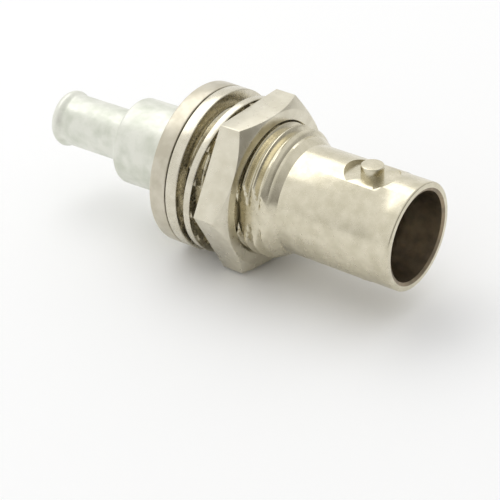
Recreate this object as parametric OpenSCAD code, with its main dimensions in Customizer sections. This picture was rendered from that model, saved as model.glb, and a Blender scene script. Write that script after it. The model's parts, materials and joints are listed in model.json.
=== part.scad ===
// Bulkhead coaxial jack with two bayonet lugs, a panel thread with its nut and
// washers, and a stepped crimp ferrule at the cable end.
// The connector's axis is X. The mouth is at x = 0 and faces +X, the cable
// leaves towards -X, and the part lies on its side with +Z up.

/* [Mating end] */
// Bore that the plug's outer contact enters
mouth_bore_d = 8.1; // [7.9:0.05:8.3]
// Depth from the rim to the floor of the bore
mouth_depth = 8.41; // [7:0.01:9]
// How far the lead-in opens past the bore
lead_in_w = 0.31; // [0.2:0.01:0.45]
// Depth of the lead-in
lead_in_l = 0.15; // [0.1:0.05:1]
// Wall of the barrel in front of the lugs
barrel_wall = 0.8; // [0.7:0.01:0.9]
// How much thicker the wall is behind the lugs
barrel_step = 0.05; // [0.02:0.01:0.1]
// Length of the plain barrel
barrel_l = 11.2; // [9:0.1:13]
// Rounding of the rim's outer edge
rim_round = 0.16; // [0.05:0.01:0.25]

/* [Bayonet lugs] */
// Diameter of each lug
lug_d = 2; // [1.6:0.05:2.4]
// Height of each lug above the barrel
lug_h = 0.65; // [0.4:0.05:0.85]
// Distance from the rim to the middle of the lugs
lug_x = 4.7; // [3.6:0.1:5.4]
// Edge break at a lug's end
lug_break = 0.1; // [0.05:0.01:0.3]
// Diameter of the milled flat round each lug
spot_d = 4.8; // [3.6:0.1:5.4]
// Depth of the milled flats below the barrel's surface
spot_depth = 0.38; // [0.2:0.01:0.45]

/* [Panel thread] */
// Outside diameter of the thread
thread_d = 12; // [11.6:0.1:13]
// Pitch of the thread
thread_pitch = 1; // [0.75:0.05:1.2]
// Length from the barrel to the flange
thread_l = 10.09; // [8.5:0.01:14]
// Plain length between the last turn and the flange
thread_plain_l = 1.2; // [0.8:0.1:2]
// Length of the shoulder cone in front of the thread
shoulder_l = 1.6; // [1.2:0.1:2.5]
// Distance from the barrel to where the thread starts on the shoulder
thread_lead = 1.1; // [0.8:0.1:2]
// Distance from the axis to the flat that keys the panel hole
key_flat = 5.3; // [5.1:0.01:5.75]

/* [Flange] */
// How far the flange stands out past the nut's flats
flange_lip = 0.35; // [0.25:0.05:1.5]
// Flange thickness
flange_t = 1.64; // [1:0.01:3]
// Edge break on the flange and washers
edge_break = 0.1; // [0.02:0.01:0.2]

/* [Crimp hub] */
// Wall between the rear bore and the tops of the knurl
hub_wall = 0.5; // [0.45:0.01:0.8]
// Length behind the flange
hub_l = 3.8; // [2.5:0.1:5]
// Number of knurl ridges
knurl_count = 40; // [24:1:60]
// Depth of the knurl
knurl_depth = 0.14; // [0.05:0.01:0.2]
// Plain collar between flange and knurl
hub_collar_l = 0.8; // [0.4:0.1:1.5]
// Step from the knurl's valleys down to the collar
hub_collar_step = 0.07; // [0.03:0.01:0.1]

/* [Flat washer] */
// How far its edge stands in from the flange's
washer_inset = 0; // [0:0.05:0.3]
// Thickness
washer_t = 1.15; // [0.6:0.01:1.3]
// Gap to the flange
washer_gap = 0.1; // [0.05:0.01:0.2]
// Clearance round the thread
washer_clearance = 0.1; // [0.06:0.01:0.2]

/* [Lock washer] */
// How far its edge stands in from the flange's
lock_inset = 0.15; // [0:0.05:0.2]
// Thickness of the strip
lock_t = 0.7; // [0.3:0.01:0.7]
// Width of the closed ring outside the teeth
lock_ring_w = 0.55; // [0.3:0.05:0.6]
// Number of teeth
tooth_count = 14; // [8:1:18]
// Width of each tooth
tooth_w = 1.35; // [0.8:0.05:1.6]
// Twist of each tooth out of the ring's plane
tooth_twist = 15; // [8:1:17]
// Clearance between teeth and thread
tooth_clearance = 0.15; // [0.12:0.01:0.2]
// Lean of the loose washer, its top towards the nut
lock_lean = 5; // [0:0.5:5]
// Direction of that lean, as a turn from straight down towards the key flat (degrees)
lock_turn = 35; // [0:5:60]
// Gap between the leaning washer and the nut
lock_gap = 0.05; // [0.03:0.01:0.2]

/* [Hex nut] */
// Wall between the thread and the flats
nut_wall = 1.15; // [1:0.05:1.6]
// Thickness
nut_t = 2.85; // [1.8:0.01:3.5]
// Distance from the flange's front to the nut
nut_stand = 3.8; // [3.8:0.01:4.5]
// How far the ring on the chamfered front stands in from the flats
nut_face_inset = 0.05; // [0:0.01:0.2]
// Angle of the chamfer
nut_chamfer = 36; // [15:1:45]
// Radial clearance on the thread
nut_fit = 0.05; // [0.02:0.01:0.09]
// Countersink at each end of the nut's hole
nut_sink = 0.12; // [0.05:0.01:0.25]

/* [Ferrule] */
// Length of the wide end
sleeve_l = 6.98; // [6:0.01:9]
// Bore of the narrow end, for the cable's jacket
cable_bore_d = 3.94; // [3.3:0.01:4.7]
// Length over all
ferrule_l = 15.33; // [13:0.01:20]
// Wall thickness
ferrule_wall = 0.46; // [0.35:0.01:0.6]
// Rounding of the step
step_round = 0.3; // [0.1:0.05:0.5]
// How far the cable end flares out past the neck
flare_w = 0.24; // [0.1:0.01:0.4]
// Length of the flare
flare_l = 1.2; // [0.8:0.1:2]
// Radial clearance on the hub, which the loose ferrule's lean takes up
ferrule_fit = 0.05; // [0.02:0.01:0.09]
// Gap to the back of the flange where they are closest
ferrule_gap = 0.05; // [0.03:0.01:0.2]

/* [Contact and insulators] */
// Diameter of the insulator's nose
nose_d = 4.8; // [4.4:0.05:5.2]
// Distance from the rim to the nose
nose_x = 4.2; // [2.6:0.01:4.5]
// Thickness of the web that the nose passes through
web_t = 3; // [2:0.1:4]
// Bore behind the web
rear_bore_d = 6.1; // [5.7:0.05:6.3]
// Length of the front insulator's collar
collar_l = 3; // [2:0.1:4]
// Length of the rear insulator
bush_l = 4.6; // [3:0.1:5.5]
// Contact diameter
contact_d = 2.1; // [1.9:0.05:2.3]
// Contact bore for the plug's pin
contact_bore_d = 1.36; // [1.2:0.01:1.45]
// Depth of the contact bore
contact_bore_l = 5.2; // [4:0.1:7]
// Contact set back behind the nose
contact_recess = 0.3; // [0.1:0.05:0.6]
// Width of the slots in the contact
slot_w = 0.28; // [0.15:0.01:0.4]
// Length of the slots
slot_l = 4.2; // [3:0.1:5]
// Diameter of the contact's retaining collar
contact_collar_d = 2.8; // [2.5:0.05:3.2]
// Length of the retaining collar
contact_collar_l = 1.2; // [0.8:0.1:1.6]
// Diameter of the contact's tail
tail_d = 1.7; // [1.4:0.05:1.9]
// Hole for the cable's inner conductor
tail_hole_d = 0.9; // [0.5:0.05:1.1]
// Depth of the conductor hole
tail_hole_l = 3; // [2:0.1:4]
// Bore of the stem for the cable's dielectric
stem_bore_d = 2.3; // [2:0.05:3]
// Length of the stem behind the hub
stem_l = 1.6; // [0.8:0.1:2.2]
// Radial clearance of the pressed inner pieces
seat_fit = 0.02; // [0.01:0.01:0.04]

/* [Hidden] */
$fn = 96;

barrel_front_d = mouth_bore_d + 2 * barrel_wall;
barrel_rear_d = barrel_front_d + 2 * barrel_step;
lug_tip = barrel_front_d / 2 + lug_h;
spot_floor = barrel_front_d / 2 - spot_depth;
hub_d = rear_bore_d + 2 * hub_wall;
flange_front = -(barrel_l + thread_l);
flange_d = thread_d + 2 * (nut_wall + flange_lip);
washer_d = flange_d - 2 * washer_inset;
lock_d = flange_d - 2 * lock_inset;
flange_back = flange_front - flange_t;
hub_end = flange_back - hub_l;
web_back = -(mouth_depth + web_t);
thread_front = -(barrel_l + shoulder_l);
thread_back = flange_front + thread_plain_l;
thread_depth = 0.613 * thread_pitch;
thread_start = -(barrel_l + thread_lead);
turns = floor((thread_start - thread_back) / thread_pitch);
groove_flat = thread_pitch / 4;
crest_flat = thread_pitch / 8;
nut_af = thread_d + 2 * nut_wall;
nut_face_d = nut_af - 2 * nut_face_inset;
nut_back = flange_front + nut_stand;
tooth_reach = (tooth_w * sin(tooth_twist) + lock_t * cos(tooth_twist)) / 2;
tooth_inner = thread_d / 2 + tooth_clearance;
ring_inner = lock_d / 2 - lock_ring_w;
lock_reach = max(lock_d / 2 * sin(lock_lean) + lock_t / 2 * cos(lock_lean),
                 ring_inner * sin(lock_lean) + tooth_reach * cos(lock_lean));
lock_x = nut_back - lock_gap - lock_reach;
knurl_l = hub_l - hub_collar_l;
knurl_mid = hub_end + knurl_l / 2;
touch = 0.004;
sleeve_bore_d = hub_d + 2 * ferrule_fit;
sleeve_d = sleeve_bore_d + 2 * ferrule_wall;
neck_d = cable_bore_d + 2 * ferrule_wall;
flare_d = neck_d + 2 * flare_w;
ferrule_lean = asin(2 * (ferrule_fit - touch) / knurl_l);
ferrule_front = flange_back - ferrule_gap - sleeve_d / 2 * sin(ferrule_lean);
ferrule_back = ferrule_front - ferrule_l;
step_x = ferrule_front - sleeve_l;
contact_front = -(nose_x + contact_recess);
collar_back = web_back - collar_l;
bush_back = collar_back - bush_l;
stem_back = hub_end - stem_l;
over = 1;

// Turns a profile of [radius, x] points about the connector's axis
module turned() rotate([0, 90, 0]) rotate_extrude() children();

// Places its children with their Z along the connector's axis, at x
module along(x) translate([x, 0, 0]) rotate([0, 90, 0]) children();

// Ring of square section with broken edges, from x = back to back + t
module ring(outer_d, inner_d, back, t, edge)
    turned() polygon([
        [inner_d / 2, back], [outer_d / 2 - edge, back], [outer_d / 2, back + edge],
        [outer_d / 2, back + t - edge], [outer_d / 2 - edge, back + t],
        [inner_d / 2, back + t]]);

// One V groove of the thread, its middle at x
module thread_groove(x)
    turned() polygon([
        [thread_d / 2 - thread_depth, x - groove_flat / 2],
        [thread_d / 2 + 0.01, x - (thread_pitch - crest_flat) / 2],
        [thread_d / 2 + 0.01, x + (thread_pitch - crest_flat) / 2],
        [thread_d / 2 - thread_depth, x + groove_flat / 2]]);

// Outside of the barrel, shoulder, thread, flange and hub
module body_outside() {
    turned() polygon(concat(
        [[0, 0]],
        [for (a = [90:-15:0])
            [barrel_front_d / 2 - rim_round * (1 - cos(a)), -rim_round * (1 - sin(a))]],
        [[barrel_front_d / 2, -lug_x], [barrel_rear_d / 2, -lug_x],
         [barrel_rear_d / 2, -barrel_l], [thread_d / 2, thread_front],
         [thread_d / 2, flange_front],
         [flange_d / 2 - edge_break, flange_front],
         [flange_d / 2, flange_front - edge_break],
         [flange_d / 2, flange_back + edge_break],
         [flange_d / 2 - edge_break, flange_back],
         [0, flange_back]]));
    along(flange_back - hub_collar_l)
        cylinder(d = hub_d - 2 * (knurl_depth + hub_collar_step), h = hub_collar_l + 0.1);
    along(hub_end) linear_extrude(knurl_l) knurl_section();
}

// Section of the straight knurl that grips the braid
module knurl_section()
    polygon([for (i = [0:knurl_count - 1], k = [0, 1])
        let (a = (i + k / 2) * 360 / knurl_count, r = hub_d / 2 - k * knurl_depth)
        [r * cos(a), r * sin(a)]]);

// Room inside the body, from the mouth to the end of the hub
module body_inside() {
    turned() polygon([
        [0, over], [mouth_bore_d / 2 + lead_in_w, over], [mouth_bore_d / 2 + lead_in_w, 0],
        [mouth_bore_d / 2, -lead_in_l], [mouth_bore_d / 2, -mouth_depth],
        [0, -mouth_depth]]);
    along(web_back - over) cylinder(d = nose_d + 2 * seat_fit, h = web_t + 2 * over);
    along(hub_end - over) cylinder(d = rear_bore_d, h = web_back - hub_end + over);
}

// Milled flat that leaves one lug standing in its middle
module spot_face()
    translate([-lug_x, 0, spot_floor])
        difference() {
            cylinder(d = spot_d, h = over);
            translate([0, 0, -over]) cylinder(d = lug_d, h = 3 * over);
        }

module lug() {
    base = (mouth_bore_d / 2 + spot_floor) / 2;
    translate([-lug_x, 0, 0])
        rotate_extrude($fn = 64) polygon([
            [0, base], [lug_d / 2, base], [lug_d / 2, lug_tip - lug_break],
            [lug_d / 2 - lug_break, lug_tip], [0, lug_tip]]);
}

module body() color("silver") {
    difference() {
        body_outside();
        body_inside();
        for (turn = [0:turns - 1]) thread_groove(thread_start - (turn + 0.5) * thread_pitch);
        for (side = [0, 180]) rotate([side, 0, 0]) spot_face();
        translate([flange_front, -thread_d, -thread_d / 2])
            cube([thread_l + over, thread_d - key_flat, thread_d]);
    }
    for (side = [0, 180]) rotate([side, 0, 0]) lug();
}

module flat_washer() color("gainsboro")
    ring(washer_d, thread_d + 2 * washer_clearance,
         flange_front + washer_gap, washer_t, edge_break);

module lock_washer() color("whitesmoke")
    translate([lock_x, 0, 0]) rotate([-lock_turn, 0, 0]) rotate([0, lock_lean, 0]) {
        ring(lock_d, 2 * ring_inner, -lock_t / 2, lock_t, edge_break / 2);
        for (i = [0:tooth_count - 1]) rotate([i * 360 / tooth_count, 0, 0]) lock_tooth();
    }

// One tooth, twisted about its own length and standing in from the ring
module lock_tooth() {
    root = lock_d / 2 - lock_ring_w / 2;
    rotate([0, 0, tooth_twist])
        translate([-lock_t / 2, -tooth_w / 2, tooth_inner])
            cube([lock_t, tooth_w, root - tooth_inner]);
}

module hex_nut() color("tan")
    difference() {
        intersection() {
            along(nut_back) rotate(90)
                cylinder(d = nut_af / cos(30), h = nut_t, $fn = 6);
            nut_chamfer_cone();
        }
        nut_hole();
    }

// Cone that rounds off the corners of the nut's front
module nut_chamfer_cone() {
    front = nut_back + nut_t;
    corner = nut_af / 2 / cos(30) + 0.5;
    drop = (corner - nut_face_d / 2) * tan(nut_chamfer);
    turned() polygon([
        [0, nut_back - over], [corner, nut_back - over], [corner, front - drop],
        [nut_face_d / 2, front], [0, front]]);
}

// Threaded hole of the nut, with a countersink at each end
module nut_hole() {
    r = thread_d / 2 + nut_fit;
    front = nut_back + nut_t;
    turned() polygon([
        [0, nut_back - over], [r + nut_sink + over, nut_back - over],
        [r, nut_back + nut_sink], [r, front - nut_sink],
        [r + nut_sink + over, front + over], [0, front + over]]);
}

// The ferrule, leaning on the knurl until it touches at both ends
module ferrule() color("lightgray")
    translate([knurl_mid, 0, 0]) rotate([0, 0, ferrule_lean]) translate([-knurl_mid, 0, 0])
    turned() polygon(concat(
        [[sleeve_bore_d / 2, ferrule_front],
         [sleeve_d / 2 - edge_break, ferrule_front],
         [sleeve_d / 2, ferrule_front - edge_break]],
        [for (a = [0:15:90])
            [sleeve_d / 2 - step_round * (1 - cos(a)), step_x + step_round * (1 - sin(a))]],
        [[neck_d / 2, step_x]],
        [for (u = [0:0.1:1])
            [neck_d / 2 + (flare_d - neck_d) / 2 * flare_rise(u),
             ferrule_back + flare_l * (1 - u)]],
        [[cable_bore_d / 2, ferrule_back],
         [cable_bore_d / 2, step_x + ferrule_wall],
         [sleeve_bore_d / 2, step_x + ferrule_wall]]));

// Height of the flare along its length: it swells, then rolls in at the end
function flare_rise(u) = u < 0.6 ? (1 - cos(300 * u)) / 2 : 1 - pow((u - 0.6) / 0.4, 2) * 0.9;

module front_insulator() color("white")
    difference() {
        union() {
            along(web_back - 0.1) cylinder(d = nose_d, h = -nose_x - web_back + 0.1);
            along(collar_back)
                cylinder(d = rear_bore_d - 2 * seat_fit, h = collar_l);
        }
        along(collar_back - over)
            cylinder(d = contact_d + 2 * seat_fit, h = -nose_x - collar_back + 2 * over);
        along(collar_back - over)
            cylinder(d = contact_collar_d + 2 * seat_fit, h = contact_collar_l + over);
    }

module centre_contact() color("gold")
    difference() {
        union() {
            turned() polygon([
                [0, collar_back], [contact_d / 2, collar_back],
                [contact_d / 2, contact_front - 0.15], [contact_d / 2 - 0.15, contact_front],
                [0, contact_front]]);
            along(collar_back)
                cylinder(d = contact_collar_d, h = contact_collar_l);
            along(bush_back) cylinder(d = tail_d, h = bush_l + 0.1);
        }
        along(contact_front - contact_bore_l)
            cylinder(d = contact_bore_d, h = contact_bore_l + over);
        along(bush_back - over) cylinder(d = tail_hole_d, h = tail_hole_l + over);
        for (turn = [0, 90]) rotate([turn, 0, 0])
            translate([contact_front - slot_l, -slot_w / 2, -contact_d])
                cube([slot_l + over, slot_w, 2 * contact_d]);
    }

module rear_insulator() color("ivory")
    difference() {
        along(bush_back) cylinder(d = rear_bore_d - 2 * seat_fit, h = bush_l);
        along(bush_back - over)
            cylinder(d = tail_d + 2 * seat_fit, h = bush_l + 2 * over);
    }

module crimp_stem() color("darkgray")
    difference() {
        turned() polygon([
            [0, bush_back], [rear_bore_d / 2 - seat_fit, bush_back],
            [rear_bore_d / 2 - seat_fit, hub_end], [rear_bore_d / 2 - seat_fit - 0.3, stem_back],
            [0, stem_back]]);
        along(stem_back - over)
            cylinder(d = stem_bore_d, h = bush_back - stem_back + 2 * over);
    }

body();
flat_washer();
lock_washer();
hex_nut();
ferrule();
front_insulator();
centre_contact();
rear_insulator();
crimp_stem();
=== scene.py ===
"""Looks of a bulkhead coaxial jack: nickel-plated body, washers and nut, tinned ferrule."""

import json
import math

import bmesh
import bpy
import numpy as np
from mathutils import Matrix, Vector


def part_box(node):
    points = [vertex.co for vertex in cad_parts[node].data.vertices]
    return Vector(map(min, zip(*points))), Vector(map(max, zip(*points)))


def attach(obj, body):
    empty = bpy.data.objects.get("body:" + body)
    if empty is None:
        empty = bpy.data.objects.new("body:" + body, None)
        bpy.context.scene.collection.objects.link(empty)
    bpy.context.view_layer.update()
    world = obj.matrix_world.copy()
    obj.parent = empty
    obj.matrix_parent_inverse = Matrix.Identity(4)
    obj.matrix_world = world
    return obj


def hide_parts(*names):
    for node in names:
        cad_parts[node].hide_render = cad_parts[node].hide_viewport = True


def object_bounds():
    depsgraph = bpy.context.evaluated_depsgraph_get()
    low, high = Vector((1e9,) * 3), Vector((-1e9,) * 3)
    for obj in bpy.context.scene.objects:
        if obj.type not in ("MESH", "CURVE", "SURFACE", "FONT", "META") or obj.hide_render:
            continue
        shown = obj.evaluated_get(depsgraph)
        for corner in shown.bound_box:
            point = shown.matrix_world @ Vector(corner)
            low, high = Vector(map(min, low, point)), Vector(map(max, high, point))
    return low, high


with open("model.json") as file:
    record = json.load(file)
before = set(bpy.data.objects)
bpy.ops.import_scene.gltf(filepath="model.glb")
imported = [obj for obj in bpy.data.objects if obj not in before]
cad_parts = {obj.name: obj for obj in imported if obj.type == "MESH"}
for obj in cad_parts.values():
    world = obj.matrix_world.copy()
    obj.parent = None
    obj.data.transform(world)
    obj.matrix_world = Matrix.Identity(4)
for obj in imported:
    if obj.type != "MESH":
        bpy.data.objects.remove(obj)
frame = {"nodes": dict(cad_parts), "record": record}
cad_low, cad_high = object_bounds()

MM = 0.001
TAU = 2 * math.pi

# ---------------------------------------------------------------- sizes, in millimetres

# mouth and barrel
MOUTH_BORE_R = 4.05
MOUTH_DEPTH = 8.41
LEAD_IN_R = 4.36
LEAD_IN_L = 0.15
BARREL_FRONT_R = 4.85
BARREL_REAR_R = 4.9
BARREL_L = 11.2
BARREL_STEP = 2.8
RIM_ROUND = 0.16

# bayonet lugs and the milled flats round them
LUG_R = 1.0
LUG_ROUND = 0.1
SPOT_R = 2.4
SPOT_HEIGHT = 4.47

# panel thread
SHOULDER_L = 1.6
PITCH = 1.0
THREAD_DEPTH = 0.613
CREST_FLAT = PITCH / 8
ROOT_FLAT = PITCH / 4
PLAIN_L = 1.2
RUNOUT_L = 0.6
KEY_FLAT = 5.3
KEY_SIDE = math.pi
CREST_AT = 0.97

# hub behind the flange
EDGE = 0.1
HUB_L = 3.8
COLLAR_R = 3.34
COLLAR_L = 0.8
HUB_R = 3.55
KNURLS = 40
KNURL_DEPTH = 0.14
REAR_BORE_R = 3.05
WEB_BACK = 11.41
NOSE_BORE_R = 2.42

# nut
NUT_FIT = 0.05
NUT_MINOR_R = 5.56
NUT_SINK = 0.12
NUT_FACE_INSET = 0.05
NUT_CHAMFER = math.radians(36)
NUT_CORNER_ROUND = 0.14
NUT_EDGE = 0.06

# washers and ferrule
WASHER_BORE_GAP = 0.1
SLEEVE_R = 4.06
SLEEVE_BORE_R = 3.6
NECK_R = 2.43
FERRULE_WALL = 0.46
SLEEVE_L = 6.98
FERRULE_L = 15.33
STEP_ROUND = 0.3
FLARE_RISE = 0.24
FLARE_L = 1.2

# what the frame says
body_low, body_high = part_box("body")
washer_low, washer_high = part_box("flat_washer")
nut_low, nut_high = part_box("hex_nut")
mounts = {m["name"]: m for m in frame["record"]["mounts"]}
THREAD_R = mounts["panel_hole"]["dims"]["r_mm"]
FLANGE_FRONT = mounts["panel_hole"]["pos_m"][0] / MM
LUG_X = mounts["bayonet_lugs"]["pos_m"][0] / MM
LUG_TOP = mounts["bayonet_lugs"]["dims"]["r_mm"]
FLANGE_R = -body_low.z / MM
HUB_END = body_low.x / MM
FLANGE_BACK = HUB_END + HUB_L
NUT_BACK, NUT_FRONT = nut_low.x / MM, nut_high.x / MM
NUT_HALF = nut_high.z / MM

# ---------------------------------------------------------------- mesh helpers


def rounded(corners, steps=4):
    """Points (x, r) of a line through corners (x, r, fillet), each corner rounded by its fillet."""
    points = [Vector(corners[0][:2])]
    for before, corner, after in zip(corners, corners[1:], corners[2:]):
        here = Vector(corner[:2])
        fillet = corner[2]
        if not fillet:
            points.append(here)
            continue
        back = (Vector(before[:2]) - here).normalized()
        ahead = (Vector(after[:2]) - here).normalized()
        half = back.angle(ahead) / 2
        centre = here + (back + ahead).normalized() * (fillet / math.sin(half))
        start = here + back * (fillet / math.tan(half)) - centre
        end = here + ahead * (fillet / math.tan(half)) - centre
        for k in range(steps + 1):
            points.append(centre + start.lerp(end, k / steps).normalized() * fillet)
    points.append(Vector(corners[-1][:2]))
    return points


def plain_rows(points, angles):
    """Grid of (x, r) with the same profile at every angle."""
    xs = np.array([[p.x] * len(angles) for p in points])
    rs = np.array([[p.y] * len(angles) for p in points])
    return xs, rs


class Shell:
    """Vertices and faces of a turned piece, gathered strip by strip, in millimetres."""

    def __init__(self, angles):
        self.angles = angles
        self.points = []
        self.faces = []
        self.count = 0

    def add(self, xs, rs, shift=0):
        """Adds rows of (x, r) at every angle; past the last angle a row joins the one shift further."""
        rows, columns = xs.shape
        ys, zs = rs * np.cos(self.angles), rs * np.sin(self.angles)
        self.points.append(np.stack([xs, ys, zs], axis=-1).reshape(-1, 3))
        for m in range(rows - 1):
            for i in range(columns):
                j = (i + 1) % columns
                step = shift if j == 0 else 0
                if not 0 <= m + step < rows - 1:
                    continue
                self.faces.append((self.at(m, i, columns), self.at(m + 1, i, columns),
                                   self.at(m + 1 + step, j, columns), self.at(m + step, j, columns)))
        self.count += rows * columns

    def at(self, row, column, columns):
        return self.count + row * columns + column

    def build(self, name, sharp=30.0):
        """Mesh object in metres, welded, with smooth faces and edges sharp past an angle."""
        mesh = bpy.data.meshes.new(name)
        mesh.from_pydata(np.concatenate(self.points) * MM, [], self.faces)
        return finished(name, mesh, sharp)


def finished(name, mesh, sharp=30.0):
    work = bmesh.new()
    work.from_mesh(mesh)
    bmesh.ops.remove_doubles(work, verts=work.verts, dist=2e-7)
    bmesh.ops.dissolve_degenerate(work, edges=work.edges, dist=1e-7)
    bmesh.ops.recalc_face_normals(work, faces=work.faces)
    work.to_mesh(mesh)
    work.free()
    mesh.polygons.foreach_set("use_smooth", [True] * len(mesh.polygons))
    mesh.set_sharp_from_angle(angle=math.radians(sharp))
    piece = bpy.data.objects.new(name, mesh)
    bpy.context.scene.collection.objects.link(piece)
    return piece


def boolean(piece, tool, operation):
    """Cuts tool from piece, or joins it on, and removes the tool."""
    change = piece.modifiers.new(operation.lower(), "BOOLEAN")
    change.operation = operation
    change.object = tool
    change.solver = "EXACT"
    bpy.context.view_layer.update()
    changed = bpy.data.meshes.new_from_object(
        piece.evaluated_get(bpy.context.evaluated_depsgraph_get()))
    piece.modifiers.clear()
    piece.data = changed
    bpy.data.objects.remove(tool)


# ---------------------------------------------------------------- the thread


def thread_turn():
    """Offsets along one turn, from its crest's middle, and the depth there, with eased edges."""
    corners = [(0, 0, 0), (CREST_FLAT / 2, 0, 0.03),
               ((PITCH - ROOT_FLAT) / 2, THREAD_DEPTH, 0.05),
               ((PITCH + ROOT_FLAT) / 2, THREAD_DEPTH, 0.05),
               (PITCH - CREST_FLAT / 2, 0, 0.03), (PITCH, 0, 0)]
    line = rounded(corners, 2)
    offsets, depths = [], []
    for here, ahead in zip(line, line[1:]):
        parts = 3 if (ahead - here).length > 0.2 else 1
        for k in range(parts):
            spot = here.lerp(ahead, k / parts)
            offsets.append(spot.x)
            depths.append(spot.y)
    return np.array(offsets), np.array(depths)


def thread_depth(xs, angles):
    """Depth of the groove at each (x, angle). The thread is right-handed."""
    offsets, depths = thread_turn()
    along = np.mod(xs - thread_start - PITCH * angles / TAU, PITCH)
    return np.interp(along, np.append(offsets, PITCH), np.append(depths, 0.0))


def helical_rows(first, last, angles):
    """x of rows that follow the helix from first up to last, and how many rows make one turn."""
    offsets, _ = thread_turn()
    turns = range(math.floor((first - thread_start) / PITCH) - 2,
                  math.ceil((last - thread_start) / PITCH) + 1)
    base = np.concatenate([thread_start + n * PITCH + offsets for n in turns])
    xs = base[:, None] + PITCH * angles[None, :] / TAU
    return np.clip(xs, first, last), len(offsets)


thread_start = -(BARREL_L + SHOULDER_L) - CREST_AT


def body_radius(xs, angles):
    """Outside of the body between the barrel and the flange: cone, thread and key flat."""
    cone = BARREL_REAR_R + (-BARREL_L - xs) * (THREAD_R - BARREL_REAR_R) / SHOULDER_L
    fade = np.clip((xs - (FLANGE_FRONT + PLAIN_L)) / RUNOUT_L, 0, 1)
    crest = THREAD_R - thread_depth(xs, angles) * fade
    radius = np.minimum(cone, crest)
    facing = np.cos(angles - KEY_SIDE) * np.ones_like(xs)
    flat = np.where(facing > 0.5, KEY_FLAT / np.maximum(facing, 0.5), FLANGE_R)
    return np.minimum(radius, flat)


# ---------------------------------------------------------------- pieces


def make_body():
    angles = np.arange(240) * TAU / 240
    shell = Shell(angles)

    mouth = rounded([
        (-MOUTH_DEPTH, MOUTH_BORE_R, 0), (-LEAD_IN_L, MOUTH_BORE_R, 0.05),
        (0, LEAD_IN_R, 0.04), (0, BARREL_FRONT_R, RIM_ROUND), (-1.2, BARREL_FRONT_R, 0)])
    shell.add(*plain_rows(mouth, angles))
    barrel = rounded([
        (-1.2, BARREL_FRONT_R, 0), (-BARREL_STEP + 0.06, BARREL_FRONT_R, 0),
        (-BARREL_STEP - 0.06, BARREL_REAR_R, 0), (-BARREL_L, BARREL_REAR_R, 0)])
    shell.add(*plain_rows(barrel, angles))

    xs, per_turn = helical_rows(FLANGE_FRONT, -BARREL_L, angles)
    shell.add(xs, body_radius(xs, angles), per_turn)

    face_x = np.full((2, len(angles)), FLANGE_FRONT)
    face_r = np.stack([body_radius(face_x[:1], angles)[0], np.full(len(angles), THREAD_R + 0.3)])
    shell.add(face_x, face_r)
    flange = rounded([
        (FLANGE_FRONT, THREAD_R + 0.3, 0), (FLANGE_FRONT, FLANGE_R, EDGE),
        (FLANGE_BACK, FLANGE_R, EDGE), (FLANGE_BACK, COLLAR_R, 0.05),
        (FLANGE_BACK - COLLAR_L, COLLAR_R, 0)])
    shell.add(*plain_rows(flange, angles))

    ridge = KNURL_DEPTH * np.abs(np.mod(np.arange(240) * KNURLS / 240, 1) - 0.5) * 2
    knurl_x = np.array([FLANGE_BACK - COLLAR_L, FLANGE_BACK - COLLAR_L, HUB_END + 0.06, HUB_END])
    knurl_r = np.array([COLLAR_R, HUB_R, HUB_R, HUB_R - 0.06])
    worn = np.array([0, 1, 1, 1])
    xs = np.repeat(knurl_x[:, None], 240, axis=1)
    rs = knurl_r[:, None] - worn[:, None] * ridge[None, :]
    shell.add(xs, rs)
    end_x = np.full((2, 240), HUB_END)
    shell.add(end_x, np.stack([rs[-1], np.full(240, REAR_BORE_R)]))
    inside = rounded([
        (HUB_END, REAR_BORE_R, 0), (-WEB_BACK, REAR_BORE_R, 0), (-WEB_BACK, NOSE_BORE_R, 0),
        (-MOUTH_DEPTH, NOSE_BORE_R, 0), (-MOUTH_DEPTH, MOUTH_BORE_R, 0)])
    shell.add(*plain_rows(inside, angles))
    body = shell.build("jack_body")

    for side in (0, math.pi):
        boolean(body, spot_tool(side), "DIFFERENCE")
    for side in (0, math.pi):
        boolean(body, lug(side), "UNION")
    mesh = body.data
    bpy.data.objects.remove(body)
    body = finished("jack_body", mesh)
    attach(body, "shell")
    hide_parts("body")
    return body


def upright(name, profile, side, sides):
    """Turned piece about the lug's own axis; side turns it round the connector."""
    angles = np.arange(sides) * TAU / sides
    shell = Shell(angles)
    shell.add(*plain_rows(profile, angles))
    piece = shell.build(name)
    # the shell is turned about X: stand it up along Z at the lug
    stand = Matrix.Rotation(-math.pi / 2, 4, "Y")
    place = Matrix.Rotation(side, 4, "X") @ Matrix.Translation((LUG_X * MM, 0, 0)) @ stand
    piece.data.transform(place)
    old = piece
    mesh = piece.data
    bpy.data.objects.remove(old)
    return finished(name, mesh)


def spot_tool(side):
    """Ring-shaped cutter that leaves the lug's own place standing."""
    top = SPOT_HEIGHT + 1
    profile = [Vector(p) for p in (
        (SPOT_HEIGHT, LUG_R - 0.05), (SPOT_HEIGHT, SPOT_R), (top, SPOT_R), (top, LUG_R - 0.05),
        (SPOT_HEIGHT, LUG_R - 0.05))]
    return upright("spot_tool", profile, side, 96)


def lug(side):
    base = (MOUTH_BORE_R + SPOT_HEIGHT) / 2
    profile = rounded([
        (base, 0.0001, 0), (base, LUG_R, 0), (LUG_TOP, LUG_R, LUG_ROUND), (LUG_TOP, 0.0001, 0)])
    return upright("lug", profile, side, 64)


def nut_angles():
    """Angles round the nut, close together at its six corners."""
    near = [0.0, 0.2, 0.4, 0.6, 1.0]
    side = near + list(np.arange(2, 58.5, 1.5)) + [60 - a for a in reversed(near[1:])]
    return np.radians([60 * k + a for k in range(6) for a in side])


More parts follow.
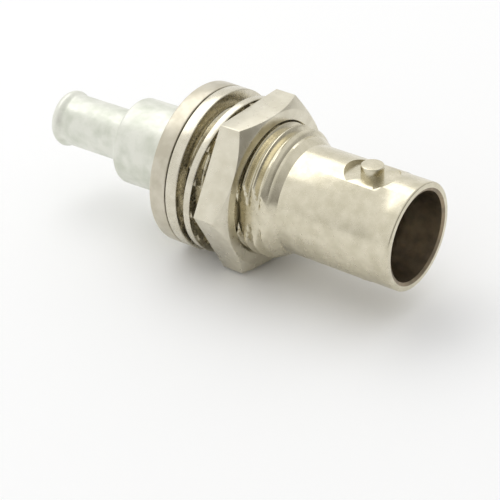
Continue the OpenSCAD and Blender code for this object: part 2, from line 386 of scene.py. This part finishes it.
def nut_outline(angles):
    """Distance from the axis to the nut's sides, its corners rounded."""
    turn = np.mod(angles, math.pi / 3) - math.pi / 6
    sides = NUT_HALF / np.cos(turn)
    corner = NUT_HALF / math.cos(math.pi / 6)
    centre = corner - NUT_CORNER_ROUND / math.cos(math.pi / 6)
    off = math.pi / 6 - np.abs(turn)
    reach = NUT_CORNER_ROUND ** 2 - (centre * np.sin(off)) ** 2
    arc = centre * np.cos(off) + np.sqrt(np.maximum(reach, 0))
    return np.where(reach > 0, np.minimum(sides, arc), sides)


def make_nut():
    angles = nut_angles()
    shell = Shell(angles)
    outline = nut_outline(angles)
    face_r = NUT_HALF - NUT_FACE_INSET
    mouth_r = THREAD_R + NUT_FIT + NUT_SINK

    drop = (outline - face_r) * math.tan(NUT_CHAMFER)
    ease = np.minimum(0.12, drop * 0.4)
    slope = ease / math.tan(NUT_CHAMFER)
    ones = np.ones(len(angles))
    rows = [
        (NUT_BACK * ones, mouth_r * ones),
        (NUT_BACK * ones, outline - NUT_EDGE),
        ((NUT_BACK + NUT_EDGE * 0.3) * ones, outline - NUT_EDGE * 0.3),
        ((NUT_BACK + NUT_EDGE) * ones, outline),
        (NUT_FRONT - drop - ease * 0.5, outline),
        (NUT_FRONT - drop + ease * 0.15, outline - slope * 0.12),
        (NUT_FRONT - drop + ease * 0.5, outline - slope * 0.5),
        ((NUT_FRONT - 0.006) * ones, (face_r + 0.02) * ones),
        (NUT_FRONT * ones, (face_r - 0.03) * ones),
        (NUT_FRONT * ones, mouth_r * ones)]
    shell.add(np.array([r[0] for r in rows]), np.array([r[1] for r in rows]))

    xs, per_turn = helical_rows(NUT_BACK, NUT_FRONT, angles)
    ridge = np.maximum(THREAD_R - thread_depth(xs, angles) + NUT_FIT, NUT_MINOR_R)
    sink = mouth_r - np.minimum(xs - NUT_BACK, NUT_FRONT - xs)
    shell.add(xs, np.maximum(ridge, sink), per_turn)
    nut = shell.build("nut")
    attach(nut, "nut")
    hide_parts("hex_nut")
    return nut


def make_washer():
    angles = np.arange(192) * TAU / 192
    shell = Shell(angles)
    back, front, outer = washer_low.x / MM, washer_high.x / MM, washer_high.z / MM
    bore = THREAD_R + WASHER_BORE_GAP
    shell.add(*plain_rows(rounded([
        (back, bore, 0), (back, outer, EDGE), (front, outer, EDGE), (front, bore, 0.05),
        (back, bore, 0)]), angles))
    washer = shell.build("spacer_washer")
    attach(washer, "spacer")
    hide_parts("flat_washer")
    return washer


def flare(u):
    """Height of the flare along its length, 0 at its start and 1 at its widest."""
    if u < 0.6:
        return (1 - math.cos(u / 0.6 * math.pi)) / 2
    return 1 - 0.9 * ((u - 0.6) / 0.4) ** 2


def make_ferrule():
    """Turned about X from its cable end at 0, then laid on its own leaning axis."""
    entry = mounts["cable_entry"]
    outward = Vector(entry["axis"])
    tail = Vector(entry["pos_m"]) + outward * entry["dims"]["length_mm"] / 2 * MM
    angles = np.arange(192) * TAU / 192
    bore = entry["dims"]["r_mm"]
    step = FERRULE_L - SLEEVE_L
    profile = rounded([
        (0.12, bore, 0), (step + FERRULE_WALL, bore, 0), (step + FERRULE_WALL, SLEEVE_BORE_R, 0),
        (FERRULE_L, SLEEVE_BORE_R, 0.04), (FERRULE_L, SLEEVE_R, EDGE), (step, SLEEVE_R, STEP_ROUND),
        (step, NECK_R, 0.06), (FLARE_L + 0.01, NECK_R, 0)], 5)
    for k in range(17):
        u = k / 16
        profile.append(Vector((FLARE_L * (1 - u), NECK_R + FLARE_RISE * flare(u))))
    profile.append(Vector((0, bore + 0.12)))
    profile.append(Vector((0.12, bore)))
    shell = Shell(angles)
    shell.add(*plain_rows(profile, angles))
    ferrule = shell.build("crimp_ferrule", 40)
    turn = Vector((1, 0, 0)).rotation_difference(-outward).to_matrix().to_4x4()
    ferrule.data.transform(Matrix.Translation(tail) @ turn)
    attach(ferrule, "sleeve")
    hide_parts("ferrule")
    return ferrule


def soften(node, width, segments=2):
    """Eases a CAD node's edges by a weld and a bevel."""
    piece = frame["nodes"][node]
    weld = piece.modifiers.new("weld", "WELD")
    weld.merge_threshold = 1e-7
    bevel = piece.modifiers.new("bevel", "BEVEL")
    bevel.width = width * MM
    bevel.segments = segments
    bevel.limit_method = "ANGLE"
    bevel.angle_limit = math.radians(35)
    return piece


# ---------------------------------------------------------------- materials


def material(name):
    made = bpy.data.materials.new(name)
    made.use_nodes = True
    tree = made.node_tree
    shader = tree.nodes["Principled BSDF"]
    return made, tree, shader


def noise(tree, scale, detail=3.0, stretch=(1, 1, 1)):
    """Noise in object space; scale is in features per metre."""
    where = tree.nodes.new("ShaderNodeTexCoord")
    stretched = tree.nodes.new("ShaderNodeMapping")
    stretched.inputs["Scale"].default_value = stretch
    made = tree.nodes.new("ShaderNodeTexNoise")
    made.inputs["Scale"].default_value = scale
    made.inputs["Detail"].default_value = detail
    tree.links.new(where.outputs["Object"], stretched.inputs["Vector"])
    tree.links.new(stretched.outputs["Vector"], made.inputs["Vector"])
    return made.outputs["Fac"]


def ramp(tree, value, low, high, start=0.35, end=0.65):
    made = tree.nodes.new("ShaderNodeValToRGB")
    made.color_ramp.elements[0].position = start
    made.color_ramp.elements[1].position = end
    made.color_ramp.elements[0].color = (*low, 1)
    made.color_ramp.elements[1].color = (*high, 1)
    tree.links.new(value, made.inputs["Fac"])
    return made.outputs["Color"]


def spread(tree, value, low, high):
    made = tree.nodes.new("ShaderNodeMapRange")
    made.inputs["To Min"].default_value = low
    made.inputs["To Max"].default_value = high
    made.inputs["From Min"].default_value = 0.3
    made.inputs["From Max"].default_value = 0.7
    tree.links.new(value, made.inputs["Value"])
    return made.outputs["Result"]


def bump(tree, shader, value, height, strength=1.0):
    made = tree.nodes.new("ShaderNodeBump")
    made.inputs["Distance"].default_value = height * MM
    made.inputs["Strength"].default_value = strength
    tree.links.new(value, made.inputs["Height"])
    tree.links.new(made.outputs["Normal"], shader.inputs["Normal"])
    return made


def nickel(name, low, high, rough, grain):
    """Plated metal: slight blotches in colour and gloss, fine turning marks in bump."""
    made, tree, shader = material(name)
    shader.inputs["Metallic"].default_value = 1.0
    blotch = noise(tree, 900)
    tree.links.new(ramp(tree, blotch, low, high), shader.inputs["Base Color"])
    tree.links.new(spread(tree, noise(tree, 2200), rough[0], rough[1]), shader.inputs["Roughness"])
    bump(tree, shader, noise(tree, 6000, 4, (3, 0.4, 0.4)), grain)
    return made


# ---------------------------------------------------------------- scene

body = make_body()
nut = make_nut()
washer = make_washer()
ferrule = make_ferrule()
lock = soften("lock_washer", 0.05)

bright = nickel("bright_nickel", (0.62, 0.575, 0.44), (0.72, 0.67, 0.53), (0.19, 0.30), 0.001)
# Flange finish: the rougher gloss and coarser turning marks are the turned surface; its base colour,
# darker than the barrel's, is painted shade.
turned = nickel("turned_and_shaded_nickel", (0.54, 0.50, 0.40), (0.63, 0.59, 0.49), (0.30, 0.42), 0.003)
satin = nickel("satin_nickel", (0.67, 0.63, 0.51), (0.75, 0.71, 0.59), (0.26, 0.36), 0.003)
washers = nickel("washer_nickel", (0.62, 0.58, 0.47), (0.70, 0.66, 0.55), (0.20, 0.32), 0.002)
# The dark brown colour here is painted shade: it stands in for the dim inside of the mouth's deep bore.
bore = nickel("bore_painted_shade", (0.24, 0.20, 0.145), (0.35, 0.28, 0.19), (0.35, 0.5), 0.003)


def make_tin():
    made, tree, shader = material("matte_tin")
    shader.inputs["Metallic"].default_value = 0.55
    stain = noise(tree, 700, 5)
    tree.links.new(ramp(tree, stain, (0.64, 0.66, 0.57), (0.79, 0.795, 0.72), 0.3, 0.6),
                   shader.inputs["Base Color"])
    tree.links.new(spread(tree, noise(tree, 1800), 0.32, 0.48), shader.inputs["Roughness"])
    bump(tree, shader, noise(tree, 3000, 4), 0.006)
    return made


def make_insulator():
    made, tree, shader = material("white_insulator")
    tree.links.new(ramp(tree, noise(tree, 1500), (0.86, 0.85, 0.82), (0.92, 0.92, 0.90)),
                   shader.inputs["Base Color"])
    shader.inputs["Roughness"].default_value = 0.45
    shader.inputs["Subsurface Weight"].default_value = 0.1
    shader.inputs["Subsurface Scale"].default_value = 0.3 * MM
    bump(tree, shader, noise(tree, 8000, 3), 0.002)
    return made


def make_gold():
    made, tree, shader = material("gold_plate")
    shader.inputs["Metallic"].default_value = 1.0
    tree.links.new(ramp(tree, noise(tree, 2500), (0.88, 0.62, 0.24), (0.95, 0.74, 0.36)),
                   shader.inputs["Base Color"])
    shader.inputs["Roughness"].default_value = 0.22
    bump(tree, shader, noise(tree, 9000, 3), 0.001)
    return made


tin = make_tin()
white = make_insulator()
gold = make_gold()


def part_finish(piece, finish, back, front, inner, outer):
    """Gives the faces between two places along the axis, and two distances from it, a finish."""
    piece.data.materials.append(finish)
    index = len(piece.data.materials) - 1
    for face in piece.data.polygons:
        x, reach = face.center.x / MM, math.hypot(face.center.y, face.center.z) / MM
        if back < x < front and inner < reach < outer:
            face.material_index = index


def paint(piece, finish):
    piece.data.materials.clear()
    piece.data.materials.append(finish)


for piece, finish in ((body, bright), (nut, satin), (washer, washers), (ferrule, tin),
                      (lock, washers)):
    paint(piece, finish)
# Painted shade: the mouth's bore and lead-in get the dark brown colour of the shaded inside.
part_finish(body, bore, -MOUTH_DEPTH - 0.1, -0.03, 0, LEAD_IN_R)
# The flange faces get the turned finish, whose darker colour is painted shade.
part_finish(body, turned, FLANGE_BACK - 0.01, FLANGE_FRONT + 0.01, THREAD_R, FLANGE_R + 0.1)
for node, finish in (("front_insulator", white), ("rear_insulator", white),
                     ("centre_contact", gold), ("crimp_stem", bright)):
    paint(frame["nodes"][node], finish)


# ---------------------------------------------------------------- camera, floor and light

CAMERA_AZIMUTH = math.radians(36.65)
CAMERA_ELEVATION = math.radians(32.09)
CAMERA_ROLL = math.radians(-0.92)
CAMERA_DISTANCE = 160 * MM
CAMERA_LENS = 129.6
WORLD_BRIGHT_SIDE = (-0.74, 0.10, 0.66)
AIM_OFFSET = Vector((3.607, -2.651, -5.510)) * MM


def make_camera():
    data = bpy.data.cameras.new("camera")
    data.sensor_width = 36
    data.lens = CAMERA_LENS
    data.clip_start = 0.005
    camera = bpy.data.objects.new("camera", data)
    bpy.context.scene.collection.objects.link(camera)
    flat = math.cos(CAMERA_ELEVATION)
    back = Vector((flat * math.sin(CAMERA_AZIMUTH), -flat * math.cos(CAMERA_AZIMUTH),
                   math.sin(CAMERA_ELEVATION)))
    aim = (cad_low + cad_high) / 2 + AIM_OFFSET
    turn = back.to_track_quat("Z", "Y").to_matrix() @ Matrix.Rotation(CAMERA_ROLL, 3, "Z")
    camera.matrix_world = Matrix.Translation(aim + back * CAMERA_DISTANCE) @ turn.to_4x4()
    bpy.context.scene.camera = camera
    return camera


def make_floor():
    size = 1.2
    mesh = bpy.data.meshes.new("floor")
    z = cad_low.z
    mesh.from_pydata([(-size, -size, z), (size, -size, z), (size, size, z), (-size, size, z)],
                     [], [(0, 1, 2, 3)])
    floor = bpy.data.objects.new("floor", mesh)
    bpy.context.scene.collection.objects.link(floor)
    made, tree, shader = material("pale_floor")
    shader.inputs["Base Color"].default_value = (0.97, 0.972, 0.98, 1)
    shader.inputs["Roughness"].default_value = 0.7
    paint(floor, made)
    return floor


def make_world():
    """Pale surroundings, bright behind the part and overhead, dim on the side of the mouth."""
    world = bpy.data.worlds.new("studio")
    bpy.context.scene.world = world
    world.use_nodes = True
    tree = world.node_tree
    where = tree.nodes.new("ShaderNodeTexCoord")
    toward = tree.nodes.new("ShaderNodeVectorMath")
    toward.operation = "DOT_PRODUCT"
    toward.inputs[1].default_value = WORLD_BRIGHT_SIDE
    side = tree.nodes.new("ShaderNodeMapRange")
    side.inputs["From Min"].default_value = -0.7
    side.inputs["From Max"].default_value = 0.5
    sky = tree.nodes.new("ShaderNodeValToRGB")
    sky.color_ramp.interpolation = "EASE"
    sky.color_ramp.elements[0].color = (0.22, 0.21, 0.19, 1)
    sky.color_ramp.elements[1].color = (0.96, 0.96, 0.95, 1)
    tree.links.new(where.outputs["Generated"], toward.inputs[0])
    tree.links.new(toward.outputs["Value"], side.inputs["Value"])
    tree.links.new(side.outputs["Result"], sky.inputs["Fac"])
    tree.links.new(sky.outputs["Color"], tree.nodes["Background"].inputs["Color"])


def softbox(name, place, aim, size, power, colour=(1, 1, 1)):
    data = bpy.data.lights.new(name, "AREA")
    data.shape = "RECTANGLE"
    data.size, data.size_y = size
    data.energy = power
    data.color = colour
    lamp = bpy.data.objects.new(name, data)
    bpy.context.scene.collection.objects.link(lamp)
    lamp.location = place
    lamp.rotation_euler = (Vector(aim) - Vector(place)).to_track_quat("-Z", "Y").to_euler()
    return lamp


make_camera()
make_floor()
make_world()
softbox("back_box", (-0.22, 0.06, 0.33), (-0.015, 0, 0), (0.44, 0.20), 0.36)

view = bpy.context.scene.view_settings
view.view_transform = "Standard"
